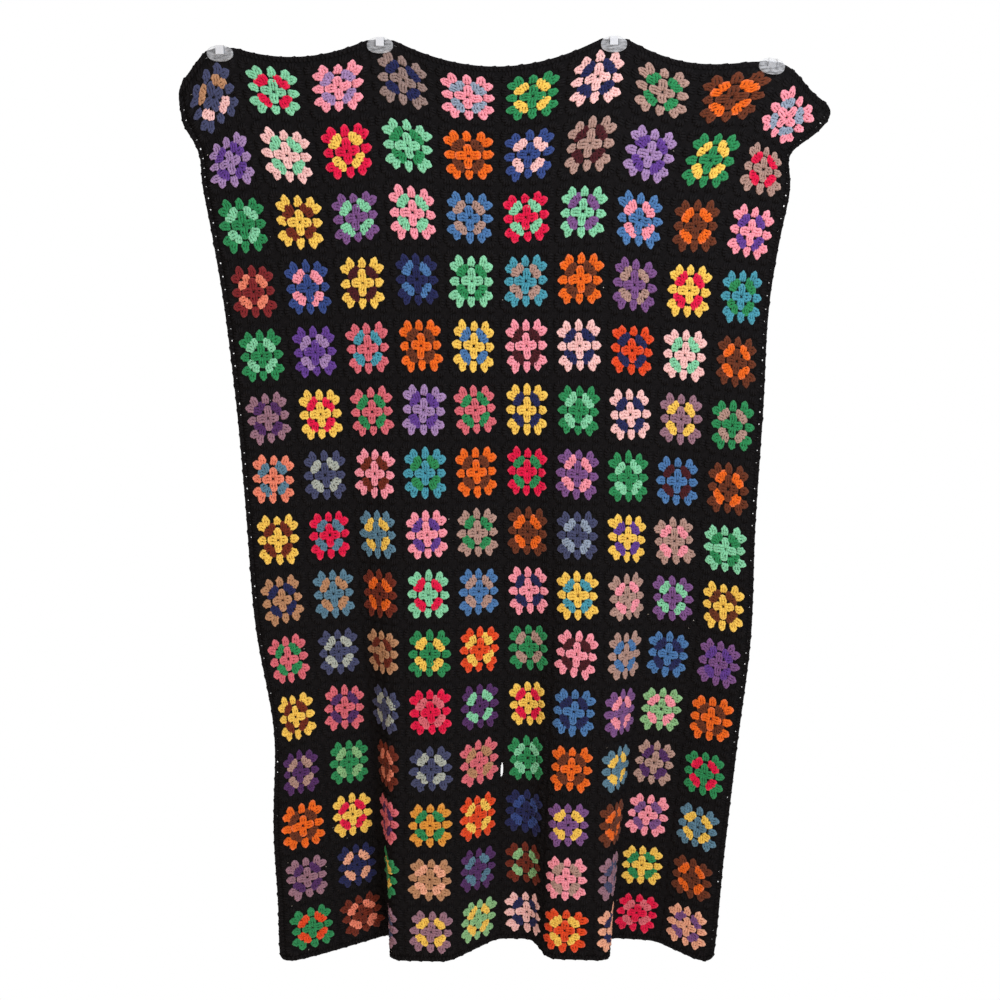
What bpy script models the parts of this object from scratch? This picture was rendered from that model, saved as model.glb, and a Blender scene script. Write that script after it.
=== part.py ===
"""Granny square blanket hung from four wall clips, as solids in metres with +Z up.

The blanket is one sheet of 10 x 15 joined crochet squares with a narrow crocheted edging. It hangs
by its top edge, so it sags between the clips and falls in soft pleats that deepen toward the hem.
A place on it is named by s, in squares from its left edge, and t, in squares down from its top.
The wall is the plane y = 0 and the front faces -Y. Clips two and three stand at the origin's height.
"""

from collections import namedtuple

import bmesh
import bpy
import numpy as np

MM = 0.001

COLUMNS = 10
ROWS = 15
CLOTH_THICKNESS = 4.0 * MM
EDGING_WIDTH = 0.078      # squares
SEAM_GAP = 0.003          # squares, kept between the field and its edging
SIDE_GAPS = 5             # openings in a side edging's inner edge, along one square
GAP_LENGTH = 0.045        # squares
GAP_DEPTH = 0.038         # squares

CORNER_RADIUS = 0.15      # squares

FOLD_EASE = 0.4           # squares over which a fold starts or ends
TOP_LIFT = 5.0            # mm, top corners of the squares above the clips' own height
SWAG_REACH = 2.2          # squares down to where the sag between the clips has faded

OPEN_JOIN_AT = (5.0, 11.72)           # s, t: a join that has come undone
OPEN_JOIN_SIZE = (4.8 * MM, 27 * MM)  # width, height

# The sheet along each line between two rows of squares, in mm: the line's height, its left end,
# the drawn-in width of a square, its distance from the wall, and how far its two ends droop.
Line = namedtuple("Line", "line height left square off_wall left_droop right_droop")
LINES = (
    Line(0, -4, -590, 119, 8, 0, 0),
    Line(1, -115, -566, 114, 9, 10, 10),
    Line(2, -233, -530, 106, 13, 23, 28),
    Line(3, -352, -509, 102, 18, 30, 35),
    Line(5, -596, -483, 98, 34, 22, 36),
    Line(7, -833, -467, 97, 54, 13, 42),
    Line(9, -1063, -455, 99, 75, 15, 40),
    Line(11, -1291, -435, 100, 96, 13, 38),
    Line(13, -1516, -424, 104, 121, -2, 37),
    Line(15, -1738, -407, 110, 141, -22, 27),
)

# Each fold turns the sheet about the vertical between two columns, by nothing at its first row
# and by its full angle at the hem. A positive turn leads back to the wall.
Fold = namedtuple("Fold", "start end turn first_row")
FOLDS = (
    Fold(0.10, 2.05, 35, 3.0),    # left panel
    Fold(2.05, 2.78, -95, 4.5),   # left pleat, seen almost edge-on
    Fold(3.80, 4.95, 42, 4.0),    # middle panel, first half
    Fold(5.58, 6.25, -67, 4.0),   # middle panel, second half
    Fold(7.30, 8.05, 88, 4.5),    # right pleat, seen edge-on
    Fold(8.90, 9.80, -36, 4.0),   # right panel
)

# Where each clip grips the top edge: its place in squares, the edge's height there in mm,
# and how far the clip leans clockwise, in degrees.
Clip = namedtuple("Clip", "name s height lean")
CLIPS = (
    Clip("clip_outer_left", 0.8, -13, 0),
    Clip("clip_inner_left", 3.2, 0, 0),
    Clip("clip_inner_right", 6.7, 2, 0),
    Clip("clip_outer_right", 8.8, -37, 8),
)
GRIP = 0.2                    # squares on each side of a clip's middle where the edge is straight
SAGS = (22, 46, 19)           # mm, top edge below a straight line from clip to clip

# A corner past the outer clip hangs by itself: it droops and is drawn in, by so many mm for each
# square past the start. side is -1 on the left and 1 on the right. Each effect is strongest at its
# row and fades over the rows given.
Corner = namedtuple("Corner", "start side droop droop_row droop_rows gather gather_row gather_rows")
CORNERS = (
    Corner(0.62, -1, 105, 0.0, 0.6, -32, 0.0, 0.4),
    Corner(1.05, -1, 46, 0.9, 0.8, -28, 1.0, 0.65),
    Corner(8.84, 1, 70, 0.0, 1.3, -43, 0.95, 0.65),
    Corner(9.00, 1, 0, 0.0, 1.0, -8, 3.2, 1.5),
    Corner(0.60, -1, 0, 0.0, 1.0, -26, 10.6, 1.3),
    Corner(0.60, -1, 0, 0.0, 1.0, 15, 15.0, 0.9),
)
CORNER_EASE = 0.08            # squares
PULL = (9.0, 38, 0.55, 0.60)  # s, mm to the right, reach in s, reach in t: slack by the last clip

CLIP_WIDTH = 46.5 * MM
CLIP_HEIGHT = 27 * MM
CLIP_SIDES = 40
CLIP_ROUND = 2.3              # 2 is an ellipse, more is squarer
JAW_CLEARANCE = 0.4 * MM
FRONT_JAW_THICKNESS = 3.2 * MM
JAW_CROWN = 1.2 * MM
JAW_BEVEL = 2.6 * MM
BACK_INSET = 1.5 * MM         # wall plate smaller than the front jaw, all round
LUG_WIDTH = 15 * MM
SLOT_WIDTH = 1.1 * MM         # open slot on each side of the lug
NOTCH_BOTTOM = -1.0 * MM
LUG_TOP = 13.6 * MM
EDGE_TO_CLIP = 10.2 * MM      # cloth's outer edge above the clip's middle
LUG_PROUD = 0.6 * MM
PIN_RADIUS = 2.6 * MM
PIN_AT = -5.0 * MM


def clear_scene():
    for obj in list(bpy.data.objects):
        bpy.data.objects.remove(obj, do_unlink=True)


def plain_material(name, colour, roughness, transmission=0.0):
    material = bpy.data.materials.new(name)
    material.use_nodes = True
    shader = material.node_tree.nodes["Principled BSDF"]
    shader.inputs["Base Color"].default_value = (*colour, 1.0)
    shader.inputs["Roughness"].default_value = roughness
    shader.inputs["Metallic"].default_value = 0.0
    shader.inputs["Transmission Weight"].default_value = transmission
    return material


def eased(u):
    """0 to 1 with level ends."""
    u = np.clip(u, 0.0, 1.0)
    return u * u * (3 - 2 * u)


def along_lines(t, name):
    """A column of LINES at t, by a smooth curve through its values."""
    at = np.array([line.line for line in LINES], float)
    value = np.array([getattr(line, name) for line in LINES], float)
    slope = np.gradient(value, at)
    i = np.clip(np.searchsorted(at, t) - 1, 0, len(at) - 2)
    step = at[i + 1] - at[i]
    u = (t - at[i]) / step
    return (
        (2 * u**3 - 3 * u**2 + 1) * value[i]
        + (u**3 - 2 * u**2 + u) * step * slope[i]
        + (3 * u**2 - 2 * u**3) * value[i + 1]
        + (u**3 - u**2) * step * slope[i + 1]
    )


def turned(s, t):
    """The sheet's turn about the vertical at (s, t), in radians."""
    total = np.zeros_like(s)
    for fold in FOLDS:
        grown = np.clip((t - fold.first_row) / (ROWS - fold.first_row), 0, None)
        inside = eased((s - fold.start) / FOLD_EASE + 0.5) - eased((s - fold.end) / FOLD_EASE + 0.5)
        total += fold.turn * grown * inside
    return np.radians(total)


def top_edge(s):
    """Height of the top edge in mm, sagging from clip to clip."""
    held = [clip.s + side * GRIP for clip in CLIPS for side in (-1, 1)]
    height = np.interp(s, held, [clip.height for clip in CLIPS for side in (-1, 1)])
    for sag, start, end in zip(SAGS, held[1::2], held[2::2]):
        u = np.clip((s - start) / (end - start), 0, 1)
        height = height - 4 * sag * u * (1 - u)
    return height


def rounded(s, t):
    """Places near the sheet's four corners, drawn in so that each corner is a quarter circle."""
    half = np.array([COLUMNS, ROWS]) / 2 + EDGING_WIDTH
    a, b = s - COLUMNS / 2, t - ROWS / 2
    straight_a, straight_b = half - CORNER_RADIUS
    u = np.clip((np.abs(a) - straight_a) / CORNER_RADIUS, 0, None)
    v = np.clip((np.abs(b) - straight_b) / CORNER_RADIUS, 0, None)
    a = a - np.sign(a) * CORNER_RADIUS * u * (1 - np.sqrt(1 - v**2 / 2))
    b = b - np.sign(b) * CORNER_RADIUS * v * (1 - np.sqrt(1 - u**2 / 2))
    return a + COLUMNS / 2, b + ROWS / 2


def walked(s, t, steps=60):
    """How far the sheet has gone across and back from its left edge to s, in squares."""
    across = np.zeros_like(s)
    back = np.zeros_like(s)
    for k in range(steps):
        angle = turned(s * (k + 0.5) / steps, t)
        across += np.cos(angle)
        back += np.sin(angle)
    return across * s / steps, back * s / steps


def cloth(s, t):
    """Points in metres on the middle of the sheet's thickness."""
    s, t = rounded(*np.broadcast_arrays(np.asarray(s, float), np.asarray(t, float)))
    across, back = walked(s, t)
    square = along_lines(t, "square")
    x = along_lines(t, "left") + square * across
    y = -along_lines(t, "off_wall") + square * back
    swag = np.exp(-(np.clip(t, 0, None) / SWAG_REACH) ** 1.2)
    z = along_lines(t, "height") + top_edge(s) * swag + TOP_LIFT
    z = z - along_lines(t, "left_droop") * np.clip((5 - s) / 5, 0, 1) ** 2
    z = z - along_lines(t, "right_droop") * np.clip((s - 5) / 5, 0, 1) ** 2
    for corner in CORNERS:
        u = np.clip(corner.side * (s - corner.start), 0, None)
        u = u * u / (u + CORNER_EASE)
        drooping = np.exp(-(((t - corner.droop_row) / corner.droop_rows) ** 2))
        gathered = np.exp(-(((t - corner.gather_row) / corner.gather_rows) ** 2))
        z = z - corner.droop * u * drooping
        x = x + corner.side * corner.gather * u * gathered
    at, reach, wide, deep = PULL
    x = x + reach * np.exp(-(((s - at) / wide) ** 2) - (t / deep) ** 2)
    return np.stack([x, y, z], axis=-1) * MM


def facing(s, t, step=0.01):
    """The sheet's unit normal, toward the front."""
    right = cloth(s + step, t) - cloth(s - step, t)
    down = cloth(s, t + step) - cloth(s, t - step)
    normal = np.cross(down, right)
    return normal / np.linalg.norm(normal, axis=-1, keepdims=True)


def between(values, points, at):
    """Rows of points, given at values, read at other places by straight lines between them."""
    flat = points.reshape(len(values), -1)
    read = np.stack([np.interp(at, values, column) for column in flat.T], axis=-1)
    return read.reshape((len(at),) + points.shape[1:])


def slab(name, front, back, cells, material):
    """A closed solid from two grids of points and the cells between them that are cloth."""
    rows, columns = cells.shape
    mesh = bmesh.new()
    sheets = []
    for grid in (front, back):
        sheets.append([[mesh.verts.new(point) for point in row] for row in grid])
    ahead, behind = sheets
    for i in range(rows):
        for j in range(columns):
            if not cells[i, j]:
                continue
            ring = [(i, j), (i + 1, j), (i + 1, j + 1), (i, j + 1)]
            mesh.faces.new([ahead[a][b] for a, b in ring])
            mesh.faces.new([behind[a][b] for a, b in reversed(ring)])
            beside = [(i, j - 1), (i + 1, j), (i, j + 1), (i - 1, j)]
            for k, (a, b) in enumerate(beside):
                if 0 <= a < rows and 0 <= b < columns and cells[a, b]:
                    continue
                (p, q), (u, v) = ring[k], ring[(k + 1) % 4]
                mesh.faces.new([ahead[u][v], ahead[p][q], behind[p][q], behind[u][v]])
    loose = [vert for vert in mesh.verts if not vert.link_faces]
    bmesh.ops.delete(mesh, geom=loose, context="VERTS")
    bmesh.ops.recalc_face_normals(mesh, faces=mesh.faces[:])
    data = bpy.data.meshes.new(name)
    mesh.to_mesh(data)
    mesh.free()
    data.shade_smooth()
    data.set_sharp_from_angle(angle=0.9)
    data.materials.append(material)
    obj = bpy.data.objects.new(name, data)
    bpy.context.collection.objects.link(obj)
    return obj


def column_lines():
    """Places across the sheet that carry a line of points: five a square, and ten in a fold."""
    fine = np.round(np.arange(0, COLUMNS + 0.05, 0.1), 2)
    ends = [end for fold in FOLDS for end in (fold.start, fold.end)]
    keep = [
        abs(s * 5 - round(s * 5)) < 1e-6
        or min(abs(s - end) for end in ends) < 0.55 * FOLD_EASE
        or min(abs(s - clip.s) for clip in CLIPS) < GRIP + 1e-6
        for s in fine
    ]
    return fine[keep]


def row_lines():
    """Places down the sheet that carry a line of points, closer together near the clips."""
    return np.concatenate([np.arange(0, 3, 1 / 3), np.arange(3, ROWS + 0.1, 0.75)])


def both_faces(s, t):
    """The sheet's front and back points."""
    middle = cloth(s, t)
    half = facing(s, t) * CLOTH_THICKNESS / 2
    return middle + half, middle - half


def open_join(field):
    """Cuts the join that has come undone through the field."""
    s, t = OPEN_JOIN_AT
    width, height = OPEN_JOIN_SIZE
    bpy.ops.mesh.primitive_cube_add(size=1)
    cutter = bpy.context.object
    cutter.name = "open_join_cutter"
    cutter.location = cloth(s, t)
    cutter.rotation_euler = (0, 0, float(turned(np.array(s), np.array(t))))
    cutter.scale = (width, 0.05, height)
    cutter.hide_render = True
    cutter.display_type = "WIRE"
    shape(field, cutter, "DIFFERENCE")


def joined_squares(material):
    s, t = np.meshgrid(column_lines(), row_lines())
    front, back = both_faces(s, t)
    cells = np.ones((s.shape[0] - 1, s.shape[1] - 1), bool)
    field = slab("joined_squares", front, back, cells, material)
    open_join(field)


def edging(name, lines, starts, place, material):
    """A strip of edging along one side of the squares.

    lines are the field's own lines along that side, so that the strip bends where the field does.
    starts are where the openings next to the squares begin. place turns (along, out) in squares
    into the sheet's s and t.
    """
    stations = np.unique(np.round(np.concatenate([lines, starts, starts + GAP_LENGTH]), 4))
    stations = stations[np.append(True, np.diff(stations) > 0.001)]
    out = np.array([SEAM_GAP, SEAM_GAP + GAP_DEPTH, EDGING_WIDTH])
    along, away = np.meshgrid(lines, out, indexing="ij")
    front, back = (between(lines, face, stations) for face in both_faces(*place(along, away)))
    middle = (stations[1:] + stations[:-1]) / 2
    since = middle[:, None] - starts
    in_gap = ((since > 0) & (since < GAP_LENGTH)).any(axis=1)
    cells = np.ones((len(stations) - 1, 2), bool)
    cells[in_gap, 0] = False
    slab(name, front, back, cells, material)


def all_edging(material):
    """The edging's four lengths. Pulled straight, it is closed along the top and the hem."""
    s_lines, t_lines = column_lines(), row_lines()
    across = np.concatenate([[-EDGING_WIDTH], s_lines, [COLUMNS + EDGING_WIDTH]])
    closed = np.empty(0)
    open_at = np.arange(1, ROWS * SIDE_GAPS) / SIDE_GAPS
    edging("edging_top", across, closed, lambda a, out: (a, -out), material)
    edging("edging_hem", across, closed, lambda a, out: (a, ROWS + out), material)
    edging("edging_left", t_lines, open_at, lambda a, out: (-out, a), material)
    edging("edging_right", t_lines, open_at, lambda a, out: (COLUMNS + out, a), material)


def oval(inset, y):
    """A ring of points of the clip's oval outline, drawn in by inset, at depth y."""
    angle = np.linspace(0, 2 * np.pi, CLIP_SIDES, endpoint=False)
    cos, sin = np.cos(angle), np.sin(angle)
    power = 2 / CLIP_ROUND
    x = np.sign(cos) * np.abs(cos) ** power * (CLIP_WIDTH / 2 - inset)
    z = np.sign(sin) * np.abs(sin) ** power * (CLIP_HEIGHT / 2 - inset)
    return [(a, y, b) for a, b in zip(x, z)]


def lofted(name, rings):
    """A solid through rings of equal length, with flat ends."""
    mesh = bmesh.new()
    loops = [[mesh.verts.new(point) for point in ring] for ring in rings]
    count = len(rings[0])
    for near, far in zip(loops, loops[1:]):
        for k in range(count):
            m = (k + 1) % count
            mesh.faces.new([near[k], near[m], far[m], far[k]])
    mesh.faces.new(loops[0])
    mesh.faces.new(loops[-1])
    bmesh.ops.recalc_face_normals(mesh, faces=mesh.faces[:])
    data = bpy.data.meshes.new(name)
    mesh.to_mesh(data)
    mesh.free()
    return data


def block(name, x, y, z):
    """A box between two places on each axis."""
    ends = [[(a, y[k], b) for a, b in ((x[0], z[0]), (x[1], z[0]), (x[1], z[1]), (x[0], z[1]))]
            for k in (0, 1)]
    return lofted(name, ends)


def disc(name, radius, y, z, sides=16):
    angle = np.linspace(0, 2 * np.pi, sides, endpoint=False)
    return lofted(name, [[(radius * np.cos(a), depth, z + radius * np.sin(a)) for a in angle]
                         for depth in y])


def helper(mesh):
    obj = bpy.data.objects.new(mesh.name, mesh)
    bpy.context.collection.objects.link(obj)
    obj.hide_render = True
    obj.display_type = "WIRE"
    return obj


def shape(obj, tool, operation):
    """A Boolean on obj with another solid."""
    modifier = obj.modifiers.new(tool.name, "BOOLEAN")
    modifier.operation = operation
    modifier.object = tool


def clip_mesh(material):
    """One moulded clip about its own middle: wall plate, lug over the cloth's edge, front jaw."""
    cloth_back = -(LINES[0].off_wall * MM - CLOTH_THICKNESS / 2)
    cloth_front = cloth_back - CLOTH_THICKNESS
    plate_face = cloth_back + JAW_CLEARANCE
    jaw_back = cloth_front - JAW_CLEARANCE
    jaw_front = jaw_back - FRONT_JAW_THICKNESS
    lug_half = LUG_WIDTH / 2
    notch_half = lug_half + SLOT_WIDTH
    plate = lofted("plate", [oval(BACK_INSET + 0.8 * MM, 0), oval(BACK_INSET, -0.8 * MM),
                             oval(BACK_INSET, plate_face)])
    jaw = lofted("jaw", [oval(0, jaw_back), oval(0, jaw_front),
                         oval(JAW_BEVEL, jaw_front - JAW_CROWN)])
    face = jaw_front - JAW_CROWN - LUG_PROUD
    notch = block("notch", (-notch_half, notch_half), (jaw_back + MM, face - MM),
                  (NOTCH_BOTTOM, CLIP_HEIGHT))
    lug_x = (-lug_half, lug_half)
    front_lug = block("front_lug", lug_x, (jaw_back, face), (NOTCH_BOTTOM - 2 * MM, LUG_TOP))
    bridge = block("bridge", lug_x, (-0.3 * MM, jaw_back - MM),
                   (EDGE_TO_CLIP + 0.5 * MM, LUG_TOP))
    riser = block("riser", lug_x, (-0.3 * MM, plate_face), (0, LUG_TOP))
    pin = disc("pin", PIN_RADIUS, (jaw_back - MM, face - 0.6 * MM), PIN_AT)
    notched = helper(jaw)
    shape(notched, helper(notch), "DIFFERENCE")
    base = helper(plate)
    added = [helper(riser), helper(bridge), helper(front_lug), notched, helper(pin)]
    for tool in added:
        shape(base, tool, "UNION")
    graph = bpy.context.evaluated_depsgraph_get()
    joined = bpy.data.meshes.new_from_object(base.evaluated_get(graph))
    joined.name = "clip"
    joined.materials.clear()
    joined.materials.append(material)
    for obj in added + [base, notched.modifiers[0].object]:
        bpy.data.objects.remove(obj, do_unlink=True)
    return joined


def clips(material):
    """The four clips, each set by the place on the top edge that it grips."""
    mesh = clip_mesh(material)
    for clip in CLIPS:
        lean = np.radians(clip.lean)
        x = cloth(clip.s, -EDGING_WIDTH)[0]
        edge = cloth(clip.s + np.linspace(-0.07, 0.07, 9), -EDGING_WIDTH)
        highest = (edge[:, 2] + (edge[:, 0] - x) * np.tan(lean)).max()
        obj = bpy.data.objects.new(clip.name, mesh)
        obj.location = (x, 0, highest - EDGE_TO_CLIP / np.cos(lean))
        obj.rotation_euler = (0, lean, 0)
        bpy.context.collection.objects.link(obj)


def main():
    clear_scene()
    yarn = plain_material("crocheted yarn", (0.035, 0.03, 0.035), 0.95)
    plastic = plain_material("clear moulded plastic", (0.93, 0.95, 0.96), 0.1, 0.9)
    joined_squares(yarn)
    all_edging(yarn)
    clips(plastic)


main()
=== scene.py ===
"""Granny square blanket hung from four clear wall clips, dressed stitch by stitch.

Crochet is built post by post: three posts worked into one space make a cluster, and clusters in
rounds make a square. Everything is laid out flat in millimetres and then carried onto the hung
sheet, whose places are named by s, in squares from the left edge, and t, in squares from the top.
"""

from __future__ import annotations

import logging
import math
from dataclasses import dataclass, field, replace
from enum import Enum
from typing import NamedTuple

import bpy
import numpy as np
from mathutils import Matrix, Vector


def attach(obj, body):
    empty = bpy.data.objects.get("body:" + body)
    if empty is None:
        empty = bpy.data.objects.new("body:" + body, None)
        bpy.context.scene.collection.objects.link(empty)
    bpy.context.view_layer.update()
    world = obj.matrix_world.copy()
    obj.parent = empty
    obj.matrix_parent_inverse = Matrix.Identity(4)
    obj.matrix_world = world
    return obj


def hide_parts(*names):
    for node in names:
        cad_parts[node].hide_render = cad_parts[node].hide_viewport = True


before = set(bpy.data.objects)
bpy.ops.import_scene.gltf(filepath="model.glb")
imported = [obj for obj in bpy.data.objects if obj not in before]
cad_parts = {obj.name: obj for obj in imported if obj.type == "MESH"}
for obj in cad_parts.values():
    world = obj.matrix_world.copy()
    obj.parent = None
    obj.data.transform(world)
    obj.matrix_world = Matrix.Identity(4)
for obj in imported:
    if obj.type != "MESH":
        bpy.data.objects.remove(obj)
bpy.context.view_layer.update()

LOG = logging.getLogger("granny_square_blanket")
MM = 0.001
BODY = "root"
BAKE_MAP = "OFBake"
STRAND_MAP = "strand"
# Added to the strand map of the chain loops, so that the yarn's finish can tell them from posts
# and give them its painted highlight.
CHAIN_LEVEL = 10
TUBE_SIDES = 5
WHITE = (1.0, 1.0, 1.0, 1.0)


# ---------------------------------------------------------------------------------------------
# Colour and node helpers


def linear(hex_colour: str) -> tuple[float, float, float, float]:
    """Turns an sRGB hex colour into linear RGBA.

    Args:
        hex_colour: Six hex digits, with or without a leading #.

    Returns:
        Linear red, green, blue and an alpha of 1.
    """
    digits = hex_colour.lstrip("#")
    parts = [int(digits[k:k + 2], 16) / 255 for k in (0, 2, 4)]
    red, green, blue = (p / 12.92 if p <= 0.04045 else ((p + 0.055) / 1.055) ** 2.4 for p in parts)
    return red, green, blue, 1.0


def add_node(tree: bpy.types.NodeTree, kind: str, settings: dict | None = None,
             values: dict | None = None, links: dict | None = None) -> bpy.types.Node:
    """Adds one shader node with its settings, constant inputs and incoming links.

    Args:
        tree: The material's node tree.
        kind: The node's type, such as "ShaderNodeBump".
        settings: Properties of the node itself.
        values: Input sockets and their constant values.
        links: Input sockets and the output sockets that feed them.

    Returns:
        The new node.
    """
    node = tree.nodes.new(kind)
    for name, value in (settings or {}).items():
        setattr(node, name, value)
    for name, value in (values or {}).items():
        node.inputs[name].default_value = value
    for name, output in (links or {}).items():
        tree.links.new(output, node.inputs[name])
    return node


# ---------------------------------------------------------------------------------------------
# Finishes


class Yarn(Enum):
    """The yarns of the blanket, as sRGB colours."""

    BLACK = "#1a191b"
    EMERALD = "#2b8f58"
    MINT = "#86d6ad"
    LEAF = "#8cc28a"
    DENIM = "#4b7bb4"
    INDIGO = "#344b8c"
    NAVY = "#222858"
    SLATE = "#464c70"
    STEEL = "#5a839c"
    TEAL = "#489db4"
    SAGE = "#adb6b0"
    ICE = "#94a5bd"
    PURPLE = "#633f98"
    GRAPE = "#7d5490"
    PLUM = "#532f68"
    LILAC = "#a688bd"
    MAUVE = "#9a7487"
    PINK = "#ff9db0"
    BLUSH = "#ffc8c8"
    ROSE = "#dd6d7c"
    CORAL = "#f08a70"
    CRIMSON = "#e6124a"
    RUBY = "#82262b"
    BRICK = "#702a1a"
    BROWN = "#6a3520"
    MAROON = "#481820"
    TAN = "#bb8c69"
    TAUPE = "#b4938a"
    GREIGE = "#96807c"
    ORANGE = "#f06d1c"
    FLAME = "#e84c20"
    GOLD = "#e29c3c"
    YELLOW = "#fdcf5c"
    PEACH = "#f0b094"


class Wave(NamedTuple):
    """One set of slanting ridges round a strand: pitch, ridges in one turn, share of the relief."""

    pitch_mm: float
    starts: int
    share: float


@dataclass(frozen=True)
class WorstedYarn:
    """Acrylic worsted yarn, four plies spun with a twist and crocheted.

    The fibre is matt with a faint halo of fuzz, so the roughness is high and a little sheen lifts
    the edges. Slanting wraps show along each stitch, with painted shade darkening the grooves
    between them, and the finer plies across. The loops at the tips stand proud and get a painted
    highlight, lighter and paler. Specks of lint sit on the black.
    """

    yarn: Yarn
    roughness: float = 0.9
    sheen: float = 0.06
    specular: float = 0.12
    black_dulling: float = 3.0
    sheen_roughness: float = 0.6
    # The wraps, and then the finer plies across them.
    waves: tuple[Wave, ...] = (Wave(4.6, 1, 0.5), Wave(1.7, -2, 0.16))
    relief_mm: float = 0.5
    relief_strength: float = 0.9
    fuzz_pitch_mm: float = 0.8
    drift_pitch_mm: float = 8.0
    dye_drift: float = 0.09
    # Where the drift begins and ends, and how far it takes the colour at each end.
    drift_stops: tuple[float, float] = (0.34, 0.66)
    drift_shares: tuple[float, float] = (-1.6, 1.0)
    # Painted shade in the grooves: how much darker they are.
    groove_shade: float = 0.16
    # Painted highlight on the tips and chain loops: how far back from the tip it fades, how much
    # lighter and how much paler they are.
    tip_fade_mm: float = 5.0
    tip_highlight: float = 0.05
    tip_highlight_desaturation: float = 0.05
    lint_pitch_mm: float = 43.0
    lint_mm: float = 0.9
    lint: str = "#b9b6ae"

    def material(self) -> bpy.types.Material:
        """Builds the yarn's material, or finds the one already made.

        Returns:
            The material, one for each yarn.
        """
        name = f"acrylic_worsted_yarn_{self.yarn.name.lower()}"
        if name in bpy.data.materials:
            return bpy.data.materials[name]
        material = bpy.data.materials.new(name)
        material.use_nodes = True
        tree = material.node_tree
        shader = tree.nodes["Principled BSDF"]
        place = add_node(tree, "ShaderNodeTexCoord").outputs["Object"]
        # Dye takes a little unevenly along the strand, so the colour drifts from stitch to stitch.
        drift = add_node(tree, "ShaderNodeTexNoise",
                         values={"Scale": 1 / (self.drift_pitch_mm * MM), "Detail": 2.0},
                         links={"Vector": place})
        ramp = add_node(tree, "ShaderNodeValToRGB", links={"Fac": drift.outputs["Fac"]})
        colour = linear(self.yarn.value)
        for stop, at, share in zip(ramp.color_ramp.elements, self.drift_stops,
                                   self.drift_shares):
            stop.position = at
            stop.color = [min(1.0, c * (1 + share * self.dye_drift)) for c in colour[:3]] + [1.0]
        # The strand map runs in mm back from the tip and once round, and chain loops lie higher up.
        strand = add_node(tree, "ShaderNodeUVMap", {"uv_map": STRAND_MAP}).outputs["UV"]
        fuzz = add_node(tree, "ShaderNodeTexNoise",
                        values={"Scale": 1 / (self.fuzz_pitch_mm * MM), "Detail": 3.0},
                        links={"Vector": place}).outputs["Fac"]
        relief = fuzz
        for pitch, starts, share in self.waves:
            slant = add_node(tree, "ShaderNodeVectorMath", {"operation": "DOT_PRODUCT"},
                             links={0: strand})
            slant.inputs[1].default_value = (math.tau / pitch, math.tau * starts, 0.0)
            wave = add_node(tree, "ShaderNodeMath", {"operation": "SINE"},
                            links={0: slant.outputs["Value"]})
            relief = add_node(tree, "ShaderNodeMath", {"operation": "MULTIPLY_ADD"},
                              values={1: share}, links={0: wave.outputs["Value"], 2: relief}
                              ).outputs["Value"]
        if self.yarn is Yarn.BLACK:
            shaded = self.linted(tree, place, ramp.outputs["Color"])
        else:
            shaded = self.painted_shade_and_highlight(tree, strand, relief, ramp.outputs["Color"])
        tree.links.new(shaded, shader.inputs["Base Color"])
        bump = add_node(tree, "ShaderNodeBump",
                        values={"Strength": self.relief_strength,
                                "Distance": self.relief_mm * MM},
                        links={"Height": relief})
        tree.links.new(bump.outputs["Normal"], shader.inputs["Normal"])
        dark = self.yarn is Yarn.BLACK
        shader.inputs["Roughness"].default_value = self.roughness
        shader.inputs["Sheen Weight"].default_value = 0.0 if dark else self.sheen
        shader.inputs["Sheen Roughness"].default_value = self.sheen_roughness
        dulling = self.black_dulling if dark else 1.0
        shader.inputs["Specular IOR Level"].default_value = self.specular / dulling
        return material

    def painted_shade_and_highlight(self, tree: bpy.types.NodeTree, strand: bpy.types.NodeSocket,
               relief: bpy.types.NodeSocket, colour: bpy.types.NodeSocket
               ) -> bpy.types.NodeSocket:
        """Paints shade into the grooves of a coloured yarn, and a lighter, paler painted highlight
        onto its tips and chain loops.

        Args:
            tree: The material's nodes.
            strand: The strand map.
            relief: The yarn's relief, about 0 to 1.
            colour: The dyed colour.

        Returns:
            The colour to show.
        """
        run = add_node(tree, "ShaderNodeSeparateXYZ", links={0: strand})
        near = add_node(tree, "ShaderNodeMapRange",
                        values={"From Min": -self.tip_fade_mm, "From Max": 0.0},
                        links={"Value": run.outputs["X"]})
        loop = add_node(tree, "ShaderNodeMath", {"operation": "GREATER_THAN"},
                        values={1: CHAIN_LEVEL / 2}, links={0: run.outputs["Y"]})
        # Painted highlight: the tips and the chain loops are shown lighter and paler.
        tip = add_node(tree, "ShaderNodeMath", {"operation": "MAXIMUM"},
                       links={0: near.outputs["Result"], 1: loop.outputs["Value"]})
        # Painted shade: the colour is darker where the relief is low, in the grooves.
        groove = add_node(tree, "ShaderNodeMapRange",
                          values={"From Min": 0.05, "From Max": 0.95,
                                  "To Min": 1 - self.groove_shade, "To Max": 1.02},
                          links={"Value": relief})
        value = add_node(tree, "ShaderNodeMath", {"operation": "MULTIPLY_ADD"},
                         values={1: self.tip_highlight},
                         links={0: tip.outputs["Value"], 2: groove.outputs["Result"]})
        strength = add_node(tree, "ShaderNodeMath", {"operation": "MULTIPLY_ADD"},
                            values={1: -self.tip_highlight_desaturation, 2: 1.0}, links={0: tip.outputs["Value"]})
        return add_node(tree, "ShaderNodeHueSaturation",
                        links={"Saturation": strength.outputs["Value"],
                               "Value": value.outputs["Value"], "Color": colour}
                        ).outputs["Color"]

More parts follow.
